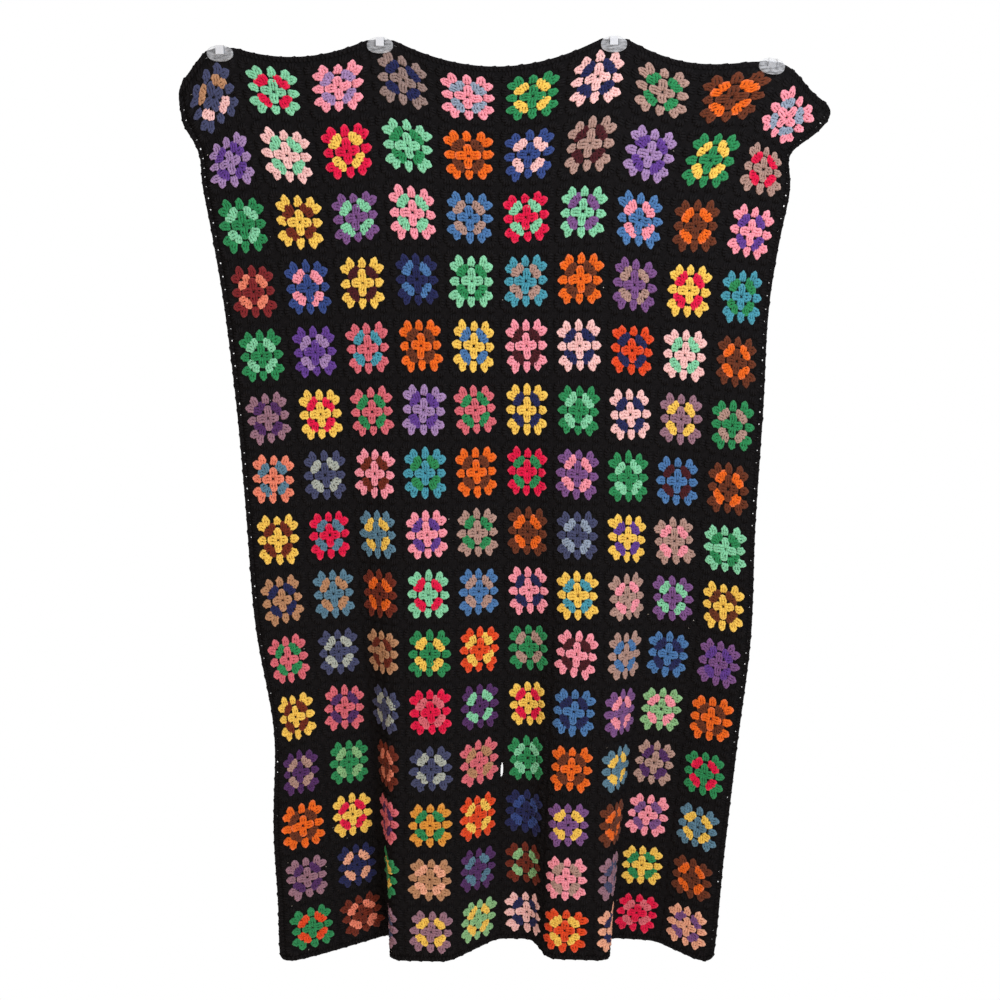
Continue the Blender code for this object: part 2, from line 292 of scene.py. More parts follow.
    def linted(self, tree: bpy.types.NodeTree, place: bpy.types.NodeSocket,
               colour: bpy.types.NodeSocket) -> bpy.types.NodeSocket:
        """Scatters pale specks of lint over the black.

        Args:
            tree: The material's nodes.
            place: The place on the piece, in metres.
            colour: The dyed colour.

        Returns:
            The colour to show.
        """
        cell = add_node(tree, "ShaderNodeTexVoronoi",
                        values={"Scale": 1 / (self.lint_pitch_mm * MM)}, links={"Vector": place})
        speck = add_node(tree, "ShaderNodeMath", {"operation": "LESS_THAN"},
                         values={1: self.lint_mm / self.lint_pitch_mm},
                         links={0: cell.outputs["Distance"]})
        mixed = add_node(tree, "ShaderNodeMix", {"data_type": "RGBA"},
                         links={0: speck.outputs["Value"], 6: colour})
        mixed.inputs[7].default_value = linear(self.lint)
        return mixed.outputs[2]


@dataclass(frozen=True)
class ClearPlastic:
    """Clear moulded polycarbonate, lightly scuffed, milky where it is thick.

    It lets the cloth show through as under a grey veil, with faint paler streaks painted in as
    highlights. The lug is a thick block that scatters more light than the thin jaw beside it.
    """

    lug_veil: float = 0.85
    tint: str = "#dfe5ee"
    ior: float = 1.55
    roughness: float = 0.22
    veil: float = 0.10
    # The streaks are a painted highlight: how much more veil they add.
    streak_highlight_veil: float = 0.26
    rim_veil: float = 0.30
    streak_pitch_mm: float = 3.0
    streak_stretch: float = 4.0
    # The lug's place in a clip's own box: its half width, and the height it starts at.
    lug_half_share: float = 0.155
    lug_start_share: float = 0.46

    def material(self) -> bpy.types.Material:
        """Builds the clips' material, or finds the one already made.

        Returns:
            The material, one for each strength of the lug's veil.
        """
        name = f"clear_moulded_polycarbonate_{round(self.lug_veil * 100)}"
        if name in bpy.data.materials:
            return bpy.data.materials[name]
        material = bpy.data.materials.new(name)
        material.use_nodes = True
        tree = material.node_tree
        shader = tree.nodes["Principled BSDF"]
        where = add_node(tree, "ShaderNodeTexCoord")
        share = add_node(tree, "ShaderNodeSeparateXYZ", links={0: where.outputs["Generated"]})
        flow = add_node(tree, "ShaderNodeVectorMath", {"operation": "MULTIPLY"},
                        links={0: where.outputs["Object"]})
        flow.inputs[1].default_value = (1.0, 1.0, self.streak_stretch)
        streak = add_node(tree, "ShaderNodeTexNoise",
                          values={"Scale": 1 / (self.streak_pitch_mm * self.streak_stretch * MM),
                                  "Detail": 2.0}, links={"Vector": flow.outputs["Vector"]})
        # Painted highlight: in streaks the veil is stronger, so the plastic reads paler.
        veil = add_node(tree, "ShaderNodeMapRange",
                        values={"From Min": 0.35, "From Max": 0.65, "To Min": self.veil,
                                "To Max": self.veil + self.streak_highlight_veil},
                        links={"Value": streak.outputs["Fac"]})
        # The bevel turns away from the front and gathers light all round the rim.
        facing = add_node(tree, "ShaderNodeSeparateXYZ", links={0: where.outputs["Normal"]})
        frontal = add_node(tree, "ShaderNodeMath", {"operation": "ABSOLUTE"},
                           links={0: facing.outputs["Y"]})
        rim = add_node(tree, "ShaderNodeMapRange",
                       values={"From Min": 1.0, "From Max": 0.4, "To Max": self.rim_veil},
                       links={"Value": frontal.outputs["Value"]})
        jaw = add_node(tree, "ShaderNodeMath", {"operation": "ADD"},
                       links={0: veil.outputs["Result"], 1: rim.outputs["Result"]})
        inside = add_node(tree, "ShaderNodeMath", {"operation": "COMPARE"},
                          values={1: 0.5, 2: self.lug_half_share}, links={0: share.outputs["X"]})
        above = add_node(tree, "ShaderNodeMath", {"operation": "GREATER_THAN"},
                         values={1: self.lug_start_share}, links={0: share.outputs["Z"]})
        lug = add_node(tree, "ShaderNodeMath", {"operation": "MULTIPLY"},
                       links={0: inside.outputs["Value"], 1: above.outputs["Value"]})
        solid = add_node(tree, "ShaderNodeMix", values={"B": self.lug_veil},
                         links={"Factor": lug.outputs["Value"], "A": jaw.outputs["Value"]})
        tree.links.new(solid.outputs["Result"], shader.inputs["Alpha"])
        scuff = add_node(tree, "ShaderNodeMapRange",
                         values={"To Min": self.roughness, "To Max": self.roughness * 2},
                         links={"Value": streak.outputs["Fac"]})
        tree.links.new(scuff.outputs["Result"], shader.inputs["Roughness"])
        shader.inputs["Base Color"].default_value = linear(self.tint)
        shader.inputs["IOR"].default_value = self.ior
        return material


@dataclass(frozen=True)
class PaleFloor:
    """Matt white paint on a smooth studio floor, softly lit so that it stays plain."""

    colour: str = "#f4f4f2"
    roughness: float = 0.95
    glow: float = 0.3

    def material(self) -> bpy.types.Material:
        """Builds the floor's paint.

        Returns:
            The material.
        """
        material = bpy.data.materials.new("matt_white_floor_paint")
        material.use_nodes = True
        shader = material.node_tree.nodes["Principled BSDF"]
        shader.inputs["Base Color"].default_value = linear(self.colour)
        shader.inputs["Roughness"].default_value = self.roughness
        shader.inputs["Specular IOR Level"].default_value = 0.0
        shader.inputs["Emission Color"].default_value = WHITE
        shader.inputs["Emission Strength"].default_value = self.glow
        return material


# ---------------------------------------------------------------------------------------------
# The hung sheet


class Line(NamedTuple):
    """The sheet along one line between two rows of squares, in mm."""

    line: int
    height: float
    left: float
    square: float
    off_wall: float
    left_droop: float
    right_droop: float


class Fold(NamedTuple):
    """A turn of the sheet between two columns, from nothing at first_row to its full angle."""

    start: float
    end: float
    turn: float
    first_row: float


class Corner(NamedTuple):
    """How the sheet hangs from start out to one edge: droop and gather for each square, in mm.

    Each is strongest at its own row and fades over its own number of rows.
    """

    start: float
    side: int
    droop: float
    droop_row: float
    droop_rows: float
    gather: float
    gather_row: float
    gather_rows: float


class Held(NamedTuple):
    """A place on the top edge that a clip holds: its column and its height in mm."""

    s: float
    height: float


class Pull(NamedTuple):
    """A stretch of the top edge drawn sideways, by reach in mm, over so many squares each way."""

    at: float
    reach: float
    wide: float
    deep: float


@dataclass
class Drape:
    """The hung sheet's middle surface and the way that flat work is carried onto it."""

    columns: int = 10
    rows: int = 15
    fold_ease: float = 0.4
    top_lift: float = 5.0
    swag_reach: float = 2.2
    swag_power: float = 1.2
    turn_steps: int = 60
    grip: float = 0.2
    corner_ease: float = 0.08
    sags: tuple[float, ...] = (22, 46, 19)
    pull: Pull = Pull(9.0, 38, 0.55, 0.60)
    margin: float = 0.12
    # Height, left, square and the droops came from a least-squares fit: its output was rounded, and
    # some of it was changed. The distance off the wall was chosen.
    lines: tuple[Line, ...] = (
        Line(0, -4, -590, 119, 8, 0, 0),
        Line(1, -115, -566, 114, 9, 10, 10),
        Line(2, -233, -530, 106, 13, 23, 28),
        Line(3, -352, -509, 102, 18, 30, 35),
        Line(5, -596, -483, 98, 34, 22, 36),
        Line(7, -833, -467, 97, 54, 13, 42),
        Line(9, -1063, -455, 99, 75, 15, 40),
        Line(11, -1291, -435, 100, 96, 13, 38),
        Line(13, -1516, -424, 104, 121, -2, 37),
        Line(15, -1738, -407, 110, 141, -22, 27),
    )
    # The turns began in the same fit and were then changed.
    folds: tuple[Fold, ...] = (
        Fold(0.10, 2.05, 35, 3.0),
        Fold(2.05, 2.78, -95, 4.5),
        Fold(3.80, 4.95, 42, 4.0),
        Fold(5.58, 6.25, -67, 4.0),
        Fold(7.30, 8.05, 88, 4.5),
        Fold(8.90, 9.80, -36, 4.0),
    )
    held: tuple[Held, ...] = (Held(0.8, -13), Held(3.2, 0), Held(6.7, 2), Held(8.8, -37))
    corners: tuple[Corner, ...] = (
        Corner(0.62, -1, 105, 0.0, 0.6, -32, 0.0, 0.4),
        Corner(1.05, -1, 46, 0.9, 0.8, -28, 1.0, 0.65),
        Corner(8.84, 1, 70, 0.0, 1.3, -43, 0.95, 0.65),
        Corner(9.00, 1, 0, 0.0, 1.0, -8, 3.2, 1.5),
        Corner(0.60, -1, 0, 0.0, 1.0, -26, 10.6, 1.3),
        Corner(0.60, -1, 0, 0.0, 1.0, 15, 15.0, 0.9),
    )
    edging_width: float = 0.078
    corner_radius: float = 0.15
    grid_step: float = 0.05
    grid: np.ndarray = field(init=False, repr=False)
    grid_normals: np.ndarray = field(init=False, repr=False)

    def __post_init__(self) -> None:
        """Works the surface out once on a fine grid, which every stitch then reads."""
        across = round((self.columns + 2 * self.margin) / self.grid_step) + 1
        down = round((self.rows + 2 * self.margin) / self.grid_step) + 1
        s = -self.margin + self.grid_step * np.arange(across)
        t = -self.margin + self.grid_step * np.arange(down)
        s, t = np.meshgrid(s, t)
        self.grid = self.surface(s, t)
        right = self.surface(s + 0.01, t) - self.surface(s - 0.01, t)
        below = self.surface(s, t + 0.01) - self.surface(s, t - 0.01)
        normals = np.cross(below, right)
        self.grid_normals = normals / np.linalg.norm(normals, axis=-1, keepdims=True)

    @staticmethod
    def eased(u: np.ndarray) -> np.ndarray:
        """0 to 1 with level ends."""
        u = np.clip(u, 0.0, 1.0)
        return u * u * (3 - 2 * u)

    def along_lines(self, t: np.ndarray, name: str) -> np.ndarray:
        """Reads one column of the lines at t, by a smooth curve.

        Args:
            t: Places down the sheet.
            name: The column's name.

        Returns:
            The column's values there, in mm.
        """
        at = np.array([line.line for line in self.lines], float)
        value = np.array([getattr(line, name) for line in self.lines], float)
        slope = np.gradient(value, at)
        i = np.clip(np.searchsorted(at, t) - 1, 0, len(at) - 2)
        step = at[i + 1] - at[i]
        u = (t - at[i]) / step
        return (
            (2 * u**3 - 3 * u**2 + 1) * value[i]
            + (u**3 - 2 * u**2 + u) * step * slope[i]
            + (3 * u**2 - 2 * u**3) * value[i + 1]
            + (u**3 - u**2) * step * slope[i + 1]
        )

    def turned(self, s: np.ndarray, t: np.ndarray) -> np.ndarray:
        """How far the sheet is turned about the vertical.

        Args:
            s: Places across, in squares.
            t: Places down, in squares.

        Returns:
            The turn at each place, in radians.
        """
        total = np.zeros_like(s)
        for fold in self.folds:
            grown = np.clip((t - fold.first_row) / (self.rows - fold.first_row), 0, None)
            start = self.eased((s - fold.start) / self.fold_ease + 0.5)
            end = self.eased((s - fold.end) / self.fold_ease + 0.5)
            total += fold.turn * grown * (start - end)
        return np.radians(total)

    def top_edge(self, s: np.ndarray) -> np.ndarray:
        """The top edge, sagging from clip to clip.

        Args:
            s: Places across, in squares.

        Returns:
            The height at each place, in mm.
        """
        at = [held.s + side * self.grip for held in self.held for side in (-1, 1)]
        height = np.interp(s, at, [held.height for held in self.held for side in (-1, 1)])
        for sag, start, end in zip(self.sags, at[1::2], at[2::2]):
            u = np.clip((s - start) / (end - start), 0, 1)
            height = height - 4 * sag * u * (1 - u)
        return height

    def rounded(self, s: np.ndarray, t: np.ndarray) -> tuple[np.ndarray, np.ndarray]:
        """Draws places near the four corners in, so that each corner is a quarter circle.

        Args:
            s: Places across, in squares.
            t: Places down, in squares.

        Returns:
            The places on the sheet that they come to.
        """
        radius = self.corner_radius
        middle = np.array([self.columns, self.rows]) / 2
        straight = middle + self.edging_width - radius
        a, b = s - middle[0], t - middle[1]
        u = np.clip((np.abs(a) - straight[0]) / radius, 0, None)
        v = np.clip((np.abs(b) - straight[1]) / radius, 0, None)
        a = a - np.sign(a) * radius * u * (1 - np.sqrt(1 - v**2 / 2))
        b = b - np.sign(b) * radius * v * (1 - np.sqrt(1 - u**2 / 2))
        return a + middle[0], b + middle[1]

    def surface(self, s: np.ndarray, t: np.ndarray) -> np.ndarray:
        """Points in metres on the middle of the sheet's thickness.

        Args:
            s: Places across, in squares.
            t: Places down, in squares.

        Returns:
            An array of the same shape with x, y and z last.
        """
        steps, half = self.turn_steps, self.columns / 2
        s, t = self.rounded(s, t)
        across, back = np.zeros_like(s), np.zeros_like(s)
        for k in range(steps):
            angle = self.turned(s * (k + 0.5) / steps, t)
            across += np.cos(angle)
            back += np.sin(angle)
        square = self.along_lines(t, "square")
        x = self.along_lines(t, "left") + square * across * s / steps
        y = -self.along_lines(t, "off_wall") + square * back * s / steps
        swag = np.exp(-(np.clip(t, 0, None) / self.swag_reach) ** self.swag_power)
        z = self.along_lines(t, "height") + self.top_edge(s) * swag + self.top_lift
        z = z - self.along_lines(t, "left_droop") * np.clip((half - s) / half, 0, 1) ** 2
        z = z - self.along_lines(t, "right_droop") * np.clip((s - half) / half, 0, 1) ** 2
        for corner in self.corners:
            u = np.clip(corner.side * (s - corner.start), 0, None)
            u = u * u / (u + self.corner_ease)
            drooping = np.exp(-(((t - corner.droop_row) / corner.droop_rows) ** 2))
            gathered = np.exp(-(((t - corner.gather_row) / corner.gather_rows) ** 2))
            z = z - corner.droop * u * drooping
            x = x + corner.side * corner.gather * u * gathered
        at, reach, wide, deep = self.pull
        x = x + reach * np.exp(-(((s - at) / wide) ** 2) - (t / deep) ** 2)
        return np.stack([x, y, z], axis=-1) * MM

    def carry(self, s: np.ndarray, t: np.ndarray, height: np.ndarray) -> np.ndarray:
        """Carries flat work onto the hung sheet.

        Args:
            s: Places across, in squares.
            t: Places down, in squares.
            height: How far each point stands in front of the sheet's middle, in mm.

        Returns:
            Points in metres, with x, y and z last.
        """
        rows, columns = self.grid.shape[:2]
        a = np.clip((s + self.margin) / self.grid_step, 0, columns - 1.001)
        b = np.clip((t + self.margin) / self.grid_step, 0, rows - 1.001)
        i, j = b.astype(int), a.astype(int)
        p, q = (a - j)[..., None], (b - i)[..., None]

        def read(table: np.ndarray) -> np.ndarray:
            """Reads a table of vectors between its grid points."""
            near = table[i, j] * (1 - p) + table[i, j + 1] * p
            far = table[i + 1, j] * (1 - p) + table[i + 1, j + 1] * p
            return near * (1 - q) + far * q

        return read(self.grid) + read(self.grid_normals) * height[..., None] * MM


# ---------------------------------------------------------------------------------------------
# Strands and sheets as meshes


class Round(Enum):
    """The rounds of a square, from its middle outwards."""

    FLOWER = 1
    SECOND = 2
    THIRD = 3
    JOINING = 4


@dataclass
class Strands:
    """Strands of yarn laid out flat in one group, all with the same rings along them.

    Places are in mm, x to the right and y down, from the middle of a square or from wherever the
    group is put. Each strand is a tube through its rings. The level is added to the strand map.
    """

    path: np.ndarray
    radius: np.ndarray
    lift: np.ndarray
    sides: int = TUBE_SIDES
    yarn: int = 0
    level: int = 0

    def turned(self, angle: float, size: tuple[float, float]) -> Strands:
        """Turns the strands about the middle and then sizes them.

        Args:
            angle: The turn, in radians.
            size: How many times as large they become across and down.

        Returns:
            The turned strands.
        """
        cos, sin = math.cos(angle), math.sin(angle)
        return replace(self, path=self.path @ np.array([[cos, sin], [-sin, cos]]) * size)

    def moved(self, x: float, y: float) -> Strands:
        """The same strands somewhere else."""
        return replace(self, path=self.path + (x, y))


@dataclass
class Layer:
    """The arrays that one group of strands, or one cut sheet, brings to a mesh."""

    places: np.ndarray
    heights: np.ndarray
    faces: list[np.ndarray]
    yarns: list[np.ndarray]
    strand_uv: list[np.ndarray]


@dataclass
class Workroom:
    """Turns flat work into meshes on the hung sheet."""

    drape: Drape
    square_mm: float = 115.0
    flatness: float = 0.86
    squeezed: float = 0.42
    squeeze_reach: tuple[float, float] = (0.30, 0.24)
    squeeze_row: float = 0.03
    squeeze_start: float = 0.8
    squeeze_fade: float = 0.6
    open_join: tuple[float, float] = (5.0, 11.72)
    open_join_size_mm: tuple[float, float] = (5.4, 29.0)

    def flattened(self, places: np.ndarray) -> np.ndarray:
        """Finds where a clip's jaws squeeze the work.

        Args:
            places: Places on the sheet, with s and t last.

        Returns:
            The share of the work's thickness that is left at each.
        """
        left = np.ones(places.shape[:-1])
        wide, deep = self.squeeze_reach
        for held in self.drape.held:
            away = np.hypot((places[..., 0] - held.s) / wide,
                            (places[..., 1] - self.squeeze_row) / deep)
            free = np.clip((away - self.squeeze_start) / self.squeeze_fade, 0, 1)
            left = np.minimum(left, self.squeezed + (1 - self.squeezed) * free)
        return left

    def opened(self, places: np.ndarray) -> np.ndarray:
        """Moves the work aside where a join has come undone.

        Args:
            places: Places on the sheet, with s and t last.

        Returns:
            The places they come to.
        """
        at, middle = self.open_join
        half_wide, half_high = (size / 2 / self.square_mm for size in self.open_join_size_mm)
        rise = np.clip(1 - ((places[..., 1] - middle) / half_high) ** 2, 0, 1)
        away = places[..., 0] - at
        side = np.where(away < 0, -1, 1)
        moved = places.copy()
        moved[..., 0] = at + side * np.maximum(np.abs(away), half_wide * np.sqrt(rise))
        return moved

    def tubes(self, strands: Strands) -> Layer:
        """Sweeps every strand of a group into a closed tube.

        Args:
            strands: The group, in mm on the flat work.

        Returns:
            The tubes' arrays.
        """
        count, rings = strands.path.shape[:2]
        sides = strands.sides
        along = np.gradient(strands.path, axis=1)
        along /= np.linalg.norm(along, axis=2, keepdims=True)
        lateral = np.stack([-along[..., 1], along[..., 0]], axis=-1)
        angle = 2 * np.pi * np.arange(sides) / sides
        wide = strands.radius[..., None] * np.cos(angle)
        flat = strands.path[:, :, None] + lateral[:, :, None] * wide[..., None]
        places = self.opened(flat / self.square_mm)
        heights = strands.radius[..., None] * np.sin(angle) * self.flatness
        heights = (heights + strands.lift[..., None]) * self.flattened(places)
        ring = np.arange(sides)
        after = (ring + 1) % sides
        first = (np.arange(count) * rings * sides)[:, None, None]
        low = first + (np.arange(rings - 1) * sides)[None, :, None]
        walls = np.stack([low + ring, low + after, low + sides + after, low + sides + ring], -1)
        ends = first[:, 0] + np.stack([ring[::-1], (rings - 1) * sides + ring])[:, None]
        step = np.linalg.norm(np.diff(strands.path, axis=1), axis=2)
        run = np.concatenate([np.zeros((count, 1)), np.cumsum(step, axis=1)], axis=1)
        run = run - run[:, -1:]
        near = np.broadcast_to(run[:, :-1, None], (count, rings - 1, sides))
        far = np.broadcast_to(run[:, 1:, None], near.shape)
        turn = np.broadcast_to(ring / sides + strands.level, near.shape)
        wall_uv = np.stack([np.stack([near, turn], -1), np.stack([near, turn + 1 / sides], -1),
                            np.stack([far, turn + 1 / sides], -1), np.stack([far, turn], -1)], -2)
        end_uv = np.zeros((2 * count, sides, 2))
        quads, caps = walls.reshape(-1, 4), ends.reshape(-1, sides)
        return Layer(places.reshape(-1, 2), heights.ravel(), [quads, caps],
                     [np.full(len(quads), strands.yarn), np.full(len(caps), strands.yarn)],
                     [wall_uv.reshape(-1, 4, 2), end_uv])

    def cut_sheet(self, s_lines: np.ndarray, t_lines: np.ndarray, kept: np.ndarray,
                  thickness_mm: float) -> Layer:
        """A thin closed sheet over the cells that are kept.

        Args:
            s_lines: Lines across the sheet, in squares.
            t_lines: Lines down the sheet, in squares.
            kept: Whether each cell between the lines is there.
            thickness_mm: The sheet's thickness.

        Returns:
            The sheet's arrays, with the front's points first.
        """
        t, s = np.meshgrid(t_lines, s_lines, indexing="ij")
        places = np.stack([s, t], -1).reshape(-1, 2)
        width, behind = len(s_lines), len(places)
        i, j = np.nonzero(kept)
        a = i * width + j
        ring = np.stack([a, a + width, a + width + 1, a + 1], -1)
        faces = [ring, ring[:, ::-1] + behind]
        beside = np.pad(kept, 1)
        for k, (down, right) in enumerate(((0, -1), (1, 0), (0, 1), (-1, 0))):
            bare = ~beside[i + 1 + down, j + 1 + right]
            p, q = ring[bare, k], ring[bare, (k + 1) % 4]
            faces.append(np.stack([q, p, p + behind, q + behind], -1))
        quads = np.concatenate(faces)
        both = np.concatenate([places, places])
        half = np.full(behind, thickness_mm / 2)
        return Layer(both, np.concatenate([half, -half]), [quads],
                     [np.zeros(len(quads), int)], [both[quads] * self.square_mm])

    def piece(self, name: str, layers: list[Layer], palette: list[Yarn], chart: BakeChart
              ) -> bpy.types.Object:
        """Joins layers into one object on the hung sheet.

        Args:
            name: The piece's name.
            layers: What the piece is made of.
            palette: The yarns, in the order that the layers count them.
            chart: How the piece is laid out for baking.

        Returns:
            The piece, with one material slot for each yarn.
        """
        places = np.concatenate([layer.places for layer in layers])
        heights = np.concatenate([layer.heights for layer in layers])
        points = self.drape.carry(places[:, 0], places[:, 1], heights)
        starts = np.cumsum([0] + [len(layer.places) for layer in layers])
        faces = [face + start for layer, start in zip(layers, starts) for face in layer.faces]
        corners = np.concatenate([face.ravel() for face in faces])
        totals = np.concatenate([np.full(len(face), face.shape[1]) for face in faces])
        first = np.concatenate([[0], np.cumsum(totals)[:-1]])
        mesh = bpy.data.meshes.new(name)
        mesh.vertices.add(len(points))
        mesh.vertices.foreach_set("co", points.astype(np.float32).ravel())
        mesh.loops.add(len(corners))
        mesh.loops.foreach_set("vertex_index", corners.astype(np.int32))
        mesh.polygons.add(len(totals))
        mesh.polygons.foreach_set("loop_start", first.astype(np.int32))
        for yarn in palette:
            mesh.materials.append(WorstedYarn(yarn).material())
        yarns = np.concatenate([yarn for layer in layers for yarn in layer.yarns])
        mesh.polygons.foreach_set("material_index", yarns.astype(np.int32))
        mesh.update(calc_edges=True)
        mesh.shade_smooth()
        strand_uv = np.concatenate([uv.reshape(-1, 2) for layer in layers for uv in layer.strand_uv])
        baked = chart.layout(places[corners], heights[corners], first, totals)
        for layer_name, uv in ((BAKE_MAP, baked), (STRAND_MAP, strand_uv)):
            layer = mesh.uv_layers.new(name=layer_name)
            layer.uv.foreach_set("vector", uv.astype(np.float32).ravel())
        piece = bpy.data.objects.new(name, mesh)
        bpy.context.collection.objects.link(piece)
        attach(piece, BODY)
        return piece


@dataclass
class BakeChart:
    """Lays a long piece out on a square: lanes of a few squares each, fronts below, backs above."""

    squares: int
    down: bool
    start: float = 0.0
    depth: float = 1.0
    lane: int = 5
    rim: float = 0.04

    def layout(self, places: np.ndarray, heights: np.ndarray, first: np.ndarray,
               totals: np.ndarray) -> np.ndarray:
        """Places every corner of every face on the map.

        Args:
            places: Each corner's s and t.
            heights: Each corner's height in front of the sheet.
            first: Each face's first corner.
            totals: Each face's number of corners.

        Returns:
            A map coordinate for each corner.
        """
        along, across = places[:, int(self.down)], places[:, 1 - int(self.down)]
        lanes = math.ceil(self.squares / self.lane)
        face_of = np.repeat(np.arange(len(totals)), totals)
        cell = np.floor(np.add.reduceat(along, first) / totals).clip(0, self.squares - 1)[face_of]
        behind = (np.add.reduceat(heights, first) < 0)[face_of]

        def inside(value: np.ndarray) -> np.ndarray:
            """Keeps a place within a cell, a little away from its neighbours."""
            return self.rim + (1 - 2 * self.rim) * np.clip(value, -self.rim, 1 + self.rim)

        u = (cell % self.lane + inside(along - cell)) / self.lane
        v = (cell // self.lane + lanes * behind + inside((across - self.start) / self.depth))
        return np.stack([u, v / (2 * lanes)], -1)


# ---------------------------------------------------------------------------------------------
# Squares


class ClusterPlan(NamedTuple):
    """Three posts worked into one space, in mm from a flat square's middle.

    The spreads are how far the outer posts stand from the middle one at their roots, half way and
    at their tips. The crown is how far they fall short of the middle one's tip.
    """

    root_x: float
    root_y: float
    tip_x: float
    tip_y: float
    root_spread: float
    waist_spread: float
    tip_spread: float
    crown: float


@dataclass
class GrannySquare:
    """One three-round granny square and its black joining round."""

    post_radius_mm: float = 3.35
    joining_radius_mm: float = 3.15
    chain_radius_mm: float = 1.7
    chain_lift_mm: float = 1.6
    wobble_mm: float = 1.1
    joining_steadiness: float = 0.6
    plumpness_spread: float = 0.05
    crown_range: tuple[float, float] = (0.7, 1.2)
    lean_mm: float = 0.7
    # Along a cluster's chain: how far out in spreads, how far back in crowns, and how plump.
    chain_across: tuple[float, ...] = (-1.45, -0.75, 0.0, 0.75, 1.45)
    chain_back: tuple[float, ...] = (1.5, 0.6, 0.0, 0.6, 1.5)
    chain_plump: tuple[float, ...] = (0.7, 1.15, 0.9, 1.15, 0.7)
    chain_back_mm: float = 0.9
    # Along each post: how far along, how plump, and how far in front of the sheet's middle in mm.
    full_profile: tuple[tuple[float, float, float], ...] = (
        (0.00, 0.70, -0.2),
        (0.24, 1.06, 0.7),
        (0.50, 0.80, 0.3),
        (0.77, 1.10, 1.1),
        (1.00, 0.62, 0.1),
    )
    joining_profile: tuple[tuple[float, float, float], ...] = (
        (0.0, 0.70, 0.0),
        (0.5, 1.05, 0.4),
        (1.0, 0.80, 0.1),
    )
    # How far a round lies behind the others, which are worked over it.
    set_back_mm: dict[Round, float] = field(default_factory=lambda: {Round.SECOND: 0.5})
    # One quarter of each round, which three quarter turns complete.
    plans: dict[Round, tuple[ClusterPlan, ...]] = field(default_factory=lambda: {
        Round.FLOWER: (
            ClusterPlan(0.0, 2.2, 0.0, 23.5, 4.0, 6.0, 4.6, 2.0),
        ),
        Round.SECOND: (
            ClusterPlan(13.5, 11.0, 31.0, 16.0, 4.4, 5.5, 4.8, 1.0),
            ClusterPlan(11.0, 13.5, 16.0, 31.0, 4.4, 5.5, 4.8, 1.0),
        ),
        Round.THIRD: (
            ClusterPlan(0.0, 26.5, 0.0, 46.0, 4.4, 5.6, 2.8, 3.0),
            ClusterPlan(25.5, 22.5, 45.0, 27.5, 4.4, 5.9, 3.2, 3.0),
            ClusterPlan(22.5, 25.5, 27.5, 45.0, 4.4, 5.9, 3.2, 3.0),
        ),
        Round.JOINING: (
            ClusterPlan(13.5, 40.0, 14.0, 56.5, 1.8, 4.6, 5.8, 1.5),
            ClusterPlan(-13.5, 40.0, -14.0, 56.5, 1.8, 4.6, 5.8, 1.5),
            ClusterPlan(40.0, 43.5, 41.0, 56.5, 3.0, 5.0, 5.4, 1.5),
            ClusterPlan(43.5, 40.0, 56.5, 41.0, 3.0, 5.0, 5.4, 1.5),
        ),
    })

    def clusters(self, which: Round) -> np.ndarray:
        """Turns a round's quarter into the whole round.

        Args:
            which: The round.

        Returns:
            A row of a plan's numbers for each cluster, quarter after quarter.
        """
        quarter = np.array(self.plans[which], float)
        turns = []
        for k in range(4):
            cos, sin = round(math.cos(k * math.pi / 2)), round(math.sin(k * math.pi / 2))
            turned = quarter.copy()
            for x, y in ((0, 1), (2, 3)):
                turned[:, x] = cos * quarter[:, x] - sin * quarter[:, y]
                turned[:, y] = sin * quarter[:, x] + cos * quarter[:, y]
            turns.append(turned)
        return np.concatenate(turns)

    def strands(self, which: Round, random: np.random.Generator) -> list[Strands]:
        """Works one round, as uneven as hand work is.

        Args:
            which: The round.
            random: The square's own generator.

        Returns:
            The round's posts and, on the coloured rounds, the chain along each cluster's top.
        """
        joining = which is Round.JOINING
        plan = self.clusters(which)
        loose = self.wobble_mm * (self.joining_steadiness if joining else 1.0)
        root = plan[:, 0:2] + random.normal(0, loose / 2, (len(plan), 2))
        tip = plan[:, 2:4] + random.normal(0, loose, (len(plan), 2))
        axis = tip - root
        axis /= np.linalg.norm(axis, axis=1, keepdims=True)
        lateral = np.stack([-axis[:, 1], axis[:, 0]], axis=1)
        profile = np.array(self.joining_profile if joining else self.full_profile)
        along, plump, lift = profile.T
        lift = lift - self.set_back_mm.get(which, 0.0)
        knots = (0.0, 0.5, 1.0)
        spread = np.stack([np.interp(along, knots, row) for row in plan[:, 4:7]])
        crown = plan[:, 7] * random.uniform(*self.crown_range)
        thickness = self.joining_radius_mm if joining else self.post_radius_mm
        zigzag = self.lean_mm * (-1.0) ** np.arange(len(along))
        paths, radii = [], []
        for k in (-1, 0, 1):
            short = abs(k) * crown[:, None, None] * axis[:, None]
            reach = root[:, None] + ((tip - root)[:, None] - short) * along[None, :, None]
            sway = zigzag * random.normal(1, 0.5, (len(plan), 1))
            paths.append(reach + (k * spread + sway)[..., None] * lateral[:, None])
            thick = 1 + random.normal(0, self.plumpness_spread, (len(plan), 1))
            radii.append(thickness * thick * plump)
        path, radius = np.concatenate(paths), np.concatenate(radii)
        posts = Strands(path, radius, np.broadcast_to(lift, radius.shape))
        if joining:
            return [posts]
        top = self.chain(tip, axis, lateral, plan[:, 6], crown)
        top.lift = top.lift - self.set_back_mm.get(which, 0.0)
        return [posts, top]

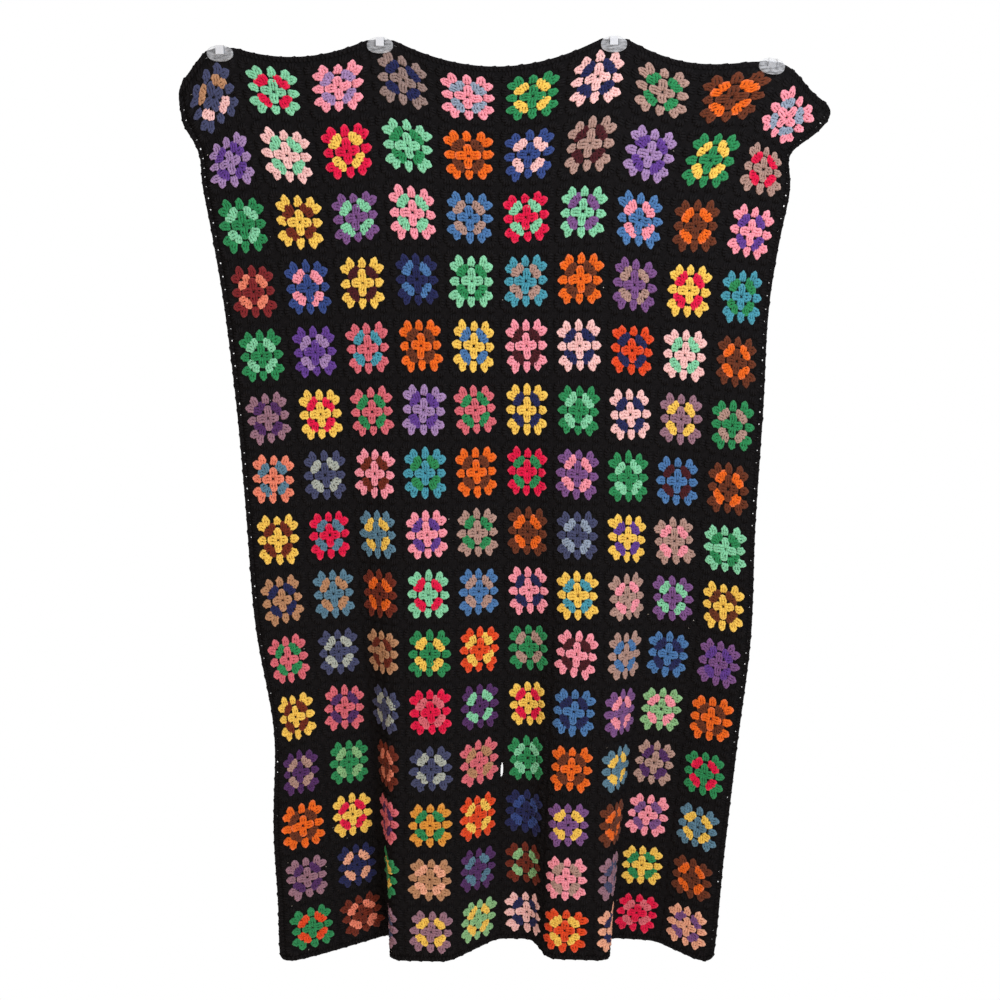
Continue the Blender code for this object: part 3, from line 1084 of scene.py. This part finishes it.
    def chain(self, tip: np.ndarray, axis: np.ndarray, lateral: np.ndarray, spread: np.ndarray,
              crown: np.ndarray) -> Strands:
        """The chain loops that lie along the top of each cluster.

        Args:
            tip: Each cluster's tip.
            axis: The way it points.
            lateral: The way across it.
            spread: How far its outer posts stand from its middle one at their tips.
            crown: How far they fall short of its tip.

        Returns:
            One bumpy strand for each cluster.
        """
        across = spread[:, None] * np.array(self.chain_across)
        back = self.chain_back_mm + crown[:, None] * np.array(self.chain_back)
        path = (tip[:, None] + lateral[:, None] * across[..., None]
                - axis[:, None] * back[..., None])
        radius = np.broadcast_to(self.chain_radius_mm * np.array(self.chain_plump), path.shape[:2])
        lift = np.full(path.shape[:2], self.chain_lift_mm)
        return Strands(path, radius, lift, level=CHAIN_LEVEL)


@dataclass
class YarnChart:
    """Which yarns each square is worked in.

    Each row of squares is a line, from the left, and each square is its main yarn, then the yarn
    of its second round. Where the second yarn ran out half way, the next one follows a plus sign.
    """

    rows: tuple[str, ...] = (
        "SLATE/BLUSH+TAN MINT/CRIMSON PINK/LILAC GREIGE/NAVY PINK/ICE "
        "EMERALD/YELLOW BLUSH/NAVY TAUPE/EMERALD BROWN/ORANGE PINK/ICE",
        "LILAC/PURPLE BLUSH/MINT CRIMSON/YELLOW MINT/EMERALD ORANGE/BROWN "
        "INDIGO/BLUSH TAUPE/MAROON LILAC/PURPLE EMERALD/YELLOW TAUPE/CRIMSON",
        "EMERALD/MINT YELLOW/BRICK GRAPE/MINT PINK/MINT DENIM/TAUPE "
        "CRIMSON/MINT MINT/GRAPE DENIM/PINK BROWN/ORANGE PINK/PURPLE",
        "RUBY/CORAL INDIGO/PINK YELLOW/MAROON NAVY/DENIM MINT/EMERALD "
        "TEAL/TAUPE ORANGE/BROWN GRAPE/TAUPE YELLOW/CRIMSON TEAL/EMERALD",
        "EMERALD/MINT PURPLE/LILAC ROSE/TEAL ORANGE/BROWN YELLOW/DENIM "
        "PINK/MAROON BLUSH/NAVY FLAME/NAVY BLUSH/MINT BROWN/ORANGE",
        "MAUVE/PLUM YELLOW/CRIMSON ROSE/EMERALD LILAC/PURPLE ROSE/EMERALD "
        "YELLOW/NAVY EMERALD/MINT BLUSH/NAVY MAUVE/YELLOW EMERALD/TAUPE",
        "CORAL/STEEL SLATE/SAGE PINK/BRICK TEAL/EMERALD ORANGE/BROWN "
        "CRIMSON/EMERALD GRAPE/PINK EMERALD/MINT DENIM/MAROON BROWN/ORANGE",
        "YELLOW/BRICK CRIMSON/STEEL STEEL/YELLOW PINK/PURPLE TAUPE/EMERALD "
        "BROWN/ORANGE SLATE/ICE YELLOW/PURPLE TAUPE/PINK MINT/EMERALD",
        "TAN/NAVY STEEL/TAN BRICK/ORANGE MINT/CRIMSON DENIM/TAUPE "
        "PINK/NAVY YELLOW/TEAL TAUPE/PINK GRAPE/MINT YELLOW/BROWN",
        "ROSE/EMERALD SLATE/SAGE TAN/BRICK EMERALD/YELLOW FLAME/YELLOW "
        "EMERALD/TAUPE PINK/MAROON TAUPE/DENIM DENIM/NAVY GRAPE/PURPLE",
        "YELLOW/BRICK ROSE/PLUM SLATE/SAGE CRIMSON/ROSE PLUM/MINT "
        "YELLOW/CRIMSON DENIM/NAVY GRAPE/PINK LEAF/PINK ORANGE/BROWN",
        "PLUM/TAUPE EMERALD/LEAF BRICK/CORAL SLATE/SAGE ROSE/TAN "
        "EMERALD/MINT ORANGE/BROWN STEEL/YELLOW TAUPE/PLUM EMERALD/CRIMSON",
        "ORANGE/BROWN YELLOW/CRIMSON ROSE/PLUM GOLD/EMERALD FLAME/YELLOW "
        "NAVY/INDIGO GRAPE/YELLOW BROWN/ORANGE PINK/GRAPE STEEL/YELLOW",
        "MAUVE/PLUM NAVY/PEACH EMERALD/YELLOW TAN/PEACH PLUM/STEEL "
        "BRICK/LEAF PINK/TAUPE MAUVE/SLATE YELLOW/EMERALD BROWN/ORANGE",
        "EMERALD/FLAME BRICK/CORAL MAUVE/SLATE MAUVE/YELLOW LEAF/YELLOW "
        "BLUSH/NAVY FLAME/YELLOW PEACH/NAVY CRIMSON/ROSE PEACH/GRAPE",
    )

    def square(self, row: int, column: int) -> tuple[Yarn, list[Yarn]]:
        """The main yarn of one square, and the yarn or yarns of its second round."""
        main, second = self.rows[row].split()[column].split("/")
        return Yarn[main], [Yarn[name] for name in second.split("+")]


@dataclass
class Blanket:
    """The joined squares: a thin black ground, partly painted shade in the gaps between stitches,
    and columns of worked squares on it.
    """

    room: Workroom
    chart: YarnChart = field(default_factory=YarnChart)
    pattern: GrannySquare = field(default_factory=GrannySquare)
    flat_size: tuple[float, float] = (1.168, 1.743)
    ground_mm: float = 1.0
    ground_cells: int = 8
    turn_deg: float = 2.0
    round_turn_deg: float = 2.5
    size_share: float = 0.018
    seed: int = 4150

    def column(self, column: int) -> bpy.types.Object:
        """Builds one column of squares.

        Args:
            column: The column, counted from the left.

        Returns:
            The column's piece.
        """
        drape, pitch = self.room.drape, self.room.square_mm
        palette, layers = [Yarn.BLACK], []
        for row in range(drape.rows):
            random = np.random.default_rng(self.seed + drape.columns * row + column)
            main, second = self.chart.square(row, column)
            turn = math.radians(random.normal(0, self.turn_deg))
            size = tuple(1 + random.normal(0, self.size_share, 2))
            middle = (pitch * (column + 0.5), pitch * (row + 0.5))
            for which in Round:
                work = self.pattern.strands(which, random)
                if which is Round.JOINING:
                    layers += [self.room.tubes(group.moved(*middle)) for group in work]
                    continue
                yarns = second if which is Round.SECOND else [main]
                twist = turn + math.radians(random.normal(0, self.round_turn_deg))
                for group in (part.turned(twist, size).moved(*middle) for part in work):
                    layers += self.in_yarns(group, yarns, palette)
        piece = self.room.piece(f"granny_column_{column + 1:02d}", layers, palette,
                                BakeChart(drape.rows, True, column))
        return piece

    def in_yarns(self, group: Strands, yarns: list[Yarn], palette: list[Yarn]) -> list[Layer]:
        """Works a group of strands in its yarns, a run of quarters in each.

        Args:
            group: Strands in sets, each set quarter after quarter.
            yarns: One yarn, or two that share the round.
            palette: The piece's yarns so far, which this adds to.

        Returns:
            One layer for each yarn.
        """
        layers = []
        clusters = len(self.pattern.plans[Round.SECOND]) * 4
        share = np.arange(len(group.path)) % clusters * len(yarns) // clusters
        for k, yarn in enumerate(yarns):
            if yarn not in palette:
                palette.append(yarn)
            mine = share == k if len(yarns) > 1 else slice(None)
            part = replace(group, path=group.path[mine], radius=group.radius[mine],
                           lift=group.lift[mine], yarn=palette.index(yarn))
            layers.append(self.room.tubes(part))
        return layers

    def ground(self) -> bpy.types.Object:
        """Builds the thin black ground behind the stitches, open at the undone join. Its black is
        partly
        painted shade: it closes the see-through gaps between stitches, which show dark.

        Returns:
            The ground's piece, which stands in for the joined squares' solid.
        """
        drape, n = self.room.drape, self.ground_cells
        at, middle = self.room.open_join
        wide, high = (size / self.room.square_mm for size in self.room.open_join_size_mm)
        s = np.union1d(np.arange(drape.columns * n + 1) / n, [at - wide / 2, at + wide / 2])
        t = np.union1d(np.arange(drape.rows * n + 1) / n, [middle - high / 2, middle + high / 2])
        s_mid, t_mid = (s[1:] + s[:-1]) / 2, (t[1:] + t[:-1]) / 2
        hole = np.outer(np.abs(t_mid - middle) < high / 2, np.abs(s_mid - at) < wide / 2)
        # Partly painted shade: the black sheet fills the gaps between stitches, where there is only
        # shade.
        sheet = self.room.cut_sheet(s, t, ~hole, self.ground_mm)
        piece = self.room.piece("joined_ground_and_painted_shade", [sheet], [Yarn.BLACK],
                                BakeChart(drape.rows, True, 0.0, drape.columns))
        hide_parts("joined_squares")
        return piece


class Side(Enum):
    """The blanket's four edges."""

    TOP = "edging_top"
    HEM = "edging_hem"
    LEFT = "edging_left"
    RIGHT = "edging_right"


@dataclass
class Edging:
    """The narrow black round along one edge: groups of short stitches, a little scalloped.

    It is closed along the top and the hem. Along the top its black strip is painted shade, filling
    small gaps that show dark there. Down the sides a small gap shows between one group and the next.
    """

    room: Workroom
    side: Side
    width: float = 0.074
    groups_per_square: int = 5
    gap_length: float = 0.045
    gap_start: float = 0.001
    gap_end: float = 0.024
    ground_mm: float = 1.0
    ground_lines: int = 10
    # How far the groups stand apart at the top and at the hem, and by how much that varies.
    slit_mm: dict[Side, tuple[float, float, float]] = field(default_factory=lambda: {
        Side.LEFT: (-0.6, -6.0, 2.6), Side.RIGHT: (-2.2, -3.0, 2.2)})
    scallop_mm: float = 1.3
    post_radius_mm: float = 2.9
    post_start_mm: float = -1.5
    post_end_mm: float = 6.3
    post_place_spread_mm: float = 0.3
    post_end_spread_mm: float = 0.35
    post_plump: tuple[float, ...] = (0.75, 1.05, 0.85)
    post_lift_mm: tuple[float, ...] = (0.0, 0.3, 0.0)
    chain_radius_mm: float = 2.5
    chain_out_mm: float = 6.1
    chain_out_spread_mm: float = 0.3
    chain_overlap: float = 0.01
    chain_lift_mm: float = 0.2
    links_per_group: int = 2
    # Along each link of the chain: how far along, how far drawn in, and how plump.
    link_along: tuple[float, ...] = (-0.06, 0.25, 0.75, 1.06)
    link_drawn_in_mm: tuple[float, ...] = (0.7, 0.0, 0.0, 0.7)
    link_plump: tuple[float, ...] = (0.7, 1.1, 1.1, 0.7)
    # How far the bake map reaches in over the squares, out from them, and both together.
    map_inner: float = 0.03
    map_outer: float = 0.1
    map_depth: float = 0.13

    @property
    def upright(self) -> bool:
        """Whether this edge runs down the blanket."""
        return self.side in (Side.LEFT, Side.RIGHT)

    @property
    def far(self) -> bool:
        """Whether this edge is the right one or the hem, where s or t is greatest."""
        return self.side in (Side.RIGHT, Side.HEM)

    @property
    def line(self) -> int:
        """Where the squares end on this side, as a place in s or t."""
        drape = self.room.drape
        return {Side.RIGHT: drape.columns, Side.HEM: drape.rows}.get(self.side, 0)

    @property
    def squares(self) -> int:
        """The squares along this edge."""
        return self.room.drape.rows if self.upright else self.room.drape.columns

    def flat(self, along: np.ndarray, out: np.ndarray) -> np.ndarray:
        """Turns places on the edge into places on the sheet.

        Args:
            along: Places along the edge, in squares.
            out: Places out from the squares, in squares.

        Returns:
            The same places, with s and t last.
        """
        away = self.line + out if self.far else -out
        return np.stack([away, along] if self.upright else [along, away], axis=-1)

    def strip(self) -> Layer:
        """Cuts the thin ground under the stitches, with the gaps of an upright edge.

        Returns:
            The ground's arrays.
        """
        pitch = 1 / self.groups_per_square
        starts = np.arange(1, self.squares * self.groups_per_square) * pitch
        # Along the top and the hem the strip is left whole; along the top its black is painted shade
        # over small gaps that show dark.
        starts = starts if self.upright else starts[:0]
        corner = 0.0 if self.upright else self.width
        lines = np.arange(0, self.squares * self.ground_lines + 1) / self.ground_lines
        along = np.unique(np.round(np.concatenate([[-corner], lines, starts, starts
                                                   + self.gap_length, [self.squares + corner]]), 4))
        out = np.array([0.0, self.gap_start, self.gap_end, self.width])
        middle = (along[1:] + along[:-1]) / 2
        since = middle[:, None] - starts
        gap = ((since > 0) & (since < self.gap_length)).any(axis=1)
        kept = np.ones((len(out) - 1, len(along) - 1), bool)
        kept[1, gap] = False
        ends = self.flat(np.zeros(len(out)), out)[:, 0 if self.upright else 1]
        if ends[0] > ends[-1]:
            ends, kept = ends[::-1], kept[::-1]
        if self.upright:
            return self.room.cut_sheet(ends, along, kept.T, self.ground_mm)
        return self.room.cut_sheet(along, ends, kept, self.ground_mm)

    def posts(self, random: np.random.Generator) -> Strands:
        """Works three short stitches in each group, with a slit before it on an upright edge.

        Args:
            random: The edging's own generator.

        Returns:
            One strand for each stitch.
        """
        pitch = 1 / self.groups_per_square
        groups = np.arange(self.squares * self.groups_per_square) * pitch
        mm = 1 / self.room.square_mm
        top, hem, spread = self.slit_mm.get(self.side, (0.0, 0.0, 0.0))
        slit = random.normal(top + (hem - top) * groups / self.squares, spread) * mm
        middle = groups + self.gap_length / 2
        at = np.concatenate([middle + slit / 2 + (pitch - slit) * (k + 0.5) / 3 for k in range(3)])
        at = at + random.normal(0, self.post_place_spread_mm * mm, len(at))
        end = self.post_end_mm + random.normal(0, self.post_end_spread_mm, len(at))
        out = self.post_start_mm + np.outer(end - self.post_start_mm, (0.0, 0.5, 1.0))
        path = self.flat(np.broadcast_to(at[:, None], out.shape), out * mm) / mm
        radius = self.post_radius_mm * np.broadcast_to(self.post_plump, out.shape)
        return Strands(path, radius, np.broadcast_to(self.post_lift_mm, out.shape))

    def chain(self, random: np.random.Generator) -> Strands:
        """Works the chain along the outside, in short plump links that leave a scalloped edge.

        Args:
            random: The edging's own generator.

        Returns:
            One strand for each link.
        """
        mm = 1 / self.room.square_mm
        over = 0.0 if self.upright else self.width - self.chain_overlap
        count = round((self.squares + 2 * over) * self.groups_per_square * self.links_per_group)
        ends = np.linspace(-over, self.squares + over, count + 1)
        along = ends[:-1, None] + np.outer(np.diff(ends), self.link_along)
        group = (along - self.gap_length / 2) * self.groups_per_square
        bulge = -self.scallop_mm * np.cos(math.tau * group)
        loose = random.normal(0, self.chain_out_spread_mm, (count, 1))
        out = self.chain_out_mm + loose + bulge - np.array(self.link_drawn_in_mm)
        path = self.flat(along, out * mm) / mm
        radius = self.chain_radius_mm * np.broadcast_to(self.link_plump, out.shape)
        return Strands(path, radius, np.full(out.shape, self.chain_lift_mm))

    def build(self) -> bpy.types.Object:
        """Builds the edging along this side.

        Returns:
            The edging's piece, which stands in for the solid of the same name.
        """
        random = np.random.default_rng(list(Side).index(self.side))
        layers = [self.strip(), self.room.tubes(self.posts(random)),
                  self.room.tubes(self.chain(random))]
        start = self.line - (self.map_inner if self.far else self.map_outer)
        chart = BakeChart(self.squares, self.upright, start, self.map_depth)
        piece = self.room.piece(f"{self.side.value}_stitches", layers, [Yarn.BLACK], chart)
        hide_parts(self.side.value)
        return piece


# ---------------------------------------------------------------------------------------------
# Clips and studio


@dataclass
class WallClips:
    """The four clear clips, which keep their own solids and get their plastic.

    The last one leans and catches less light in its lug.
    """

    names: tuple[str, ...] = ("clip_outer_left", "clip_inner_left", "clip_inner_right",
                              "clip_outer_right")
    lug_veils: tuple[float, ...] = (0.85, 0.85, 0.7, 0.3)

    def dress(self) -> None:
        """Gives every clip its clear plastic."""
        for name, lug_veil in zip(self.names, self.lug_veils):
            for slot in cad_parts[name].material_slots:
                slot.material = ClearPlastic(lug_veil).material()


class Lamp(NamedTuple):
    """A square soft lamp: its place and size in metres, its power and its colour."""

    name: str
    place: tuple[float, float, float]
    size: float
    watts: float
    colour: str


@dataclass
class Studio:
    """Camera, soft light and a pale floor."""

    distance: float = 2.3
    tilt_deg: float = 11.0
    aim: tuple[float, float, float] = (0.0045, -0.03, -0.824)
    lens_px: float = 1210.0
    sensor_mm: float = 36.0
    image_px: float = 1000.0
    floor: PaleFloor = PaleFloor()
    floor_size: float = 9.0
    floor_back: float = 0.45
    floor_height: float = -2.25
    surround: float = 0.30
    surround_colour: str = "#fff0de"
    lamps: tuple[Lamp, ...] = (
        Lamp("key", (1.2, -2.2, 1.25), 1.5, 84.0, "#f9fbff"),
        Lamp("fill", (-0.5, -2.4, -1.9), 1.6, 18.0, "#ffcf9c"),
    )

    def camera(self) -> None:
        """Adds the camera, tilted down at the blanket."""
        tilt = math.radians(self.tilt_deg)
        lens = bpy.data.cameras.new("camera")
        lens.sensor_width = self.sensor_mm
        lens.lens = self.lens_px / self.image_px * self.sensor_mm
        camera = bpy.data.objects.new("camera", lens)
        x, y, z = self.aim
        camera.location = (x, y - self.distance * math.cos(tilt), z + self.distance * math.sin(tilt))
        camera.rotation_euler = (math.pi / 2 - tilt, 0, 0)
        bpy.context.collection.objects.link(camera)
        bpy.context.scene.camera = camera

    def world(self) -> None:
        """Surrounds the scene with even warm light, and shows plain white behind the blanket."""
        world = bpy.data.worlds.new("studio")
        world.use_nodes = True
        tree = world.node_tree
        seen = add_node(tree, "ShaderNodeLightPath").outputs["Is Camera Ray"]
        strength = add_node(tree, "ShaderNodeMapRange",
                            values={"To Min": self.surround, "To Max": 1.0}, links={"Value": seen})
        colour = add_node(tree, "ShaderNodeMix", {"data_type": "RGBA"}, links={0: seen})
        colour.inputs[6].default_value = linear(self.surround_colour)
        colour.inputs[7].default_value = WHITE
        background = tree.nodes["Background"]
        tree.links.new(colour.outputs[2], background.inputs["Color"])
        tree.links.new(strength.outputs["Result"], background.inputs["Strength"])
        bpy.context.scene.world = world

    def light(self) -> None:
        """Adds the soft lamps, all facing the blanket's middle."""
        for lamp in self.lamps:
            light = bpy.data.lights.new(lamp.name, "AREA")
            light.size = lamp.size
            light.energy = lamp.watts
            light.color = linear(lamp.colour)[:3]
            stand = bpy.data.objects.new(lamp.name, light)
            stand.location = lamp.place
            toward = Vector(self.aim) - stand.location
            stand.rotation_euler = toward.to_track_quat("-Z", "Y").to_euler()
            bpy.context.collection.objects.link(stand)

    def build(self) -> None:
        """Adds camera, light and floor."""
        self.camera()
        self.world()
        self.light()
        middle = self.floor_back - self.floor_size / 2
        bpy.ops.mesh.primitive_plane_add(size=self.floor_size,
                                         location=(0, middle, self.floor_height))
        floor = bpy.context.object
        floor.name = "floor"
        floor.data.materials.append(self.floor.material())
        bpy.context.scene.view_settings.view_transform = "Standard"


def main() -> None:
    """Builds every piece in order and reports it."""
    logging.basicConfig(level=logging.INFO, format="%(name)s: %(message)s")
    Studio().build()
    LOG.info("camera, light and floor")
    drape = Drape()
    room = Workroom(drape)
    blanket = Blanket(room)
    columns = [blanket.column(column) for column in range(drape.columns)]
    edgings = [Edging(room, side).build() for side in Side]
    ground = blanket.ground()
    clips = WallClips()
    clips.dress()
    for piece in [ground] + columns + edgings:
        piece.data.calc_loop_triangles()
        LOG.info("%s, %d triangles", piece.name, len(piece.data.loop_triangles))
    LOG.info("%d clips in clear plastic", len(clips.names))
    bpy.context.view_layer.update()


if __name__ == "__main__":
    main()
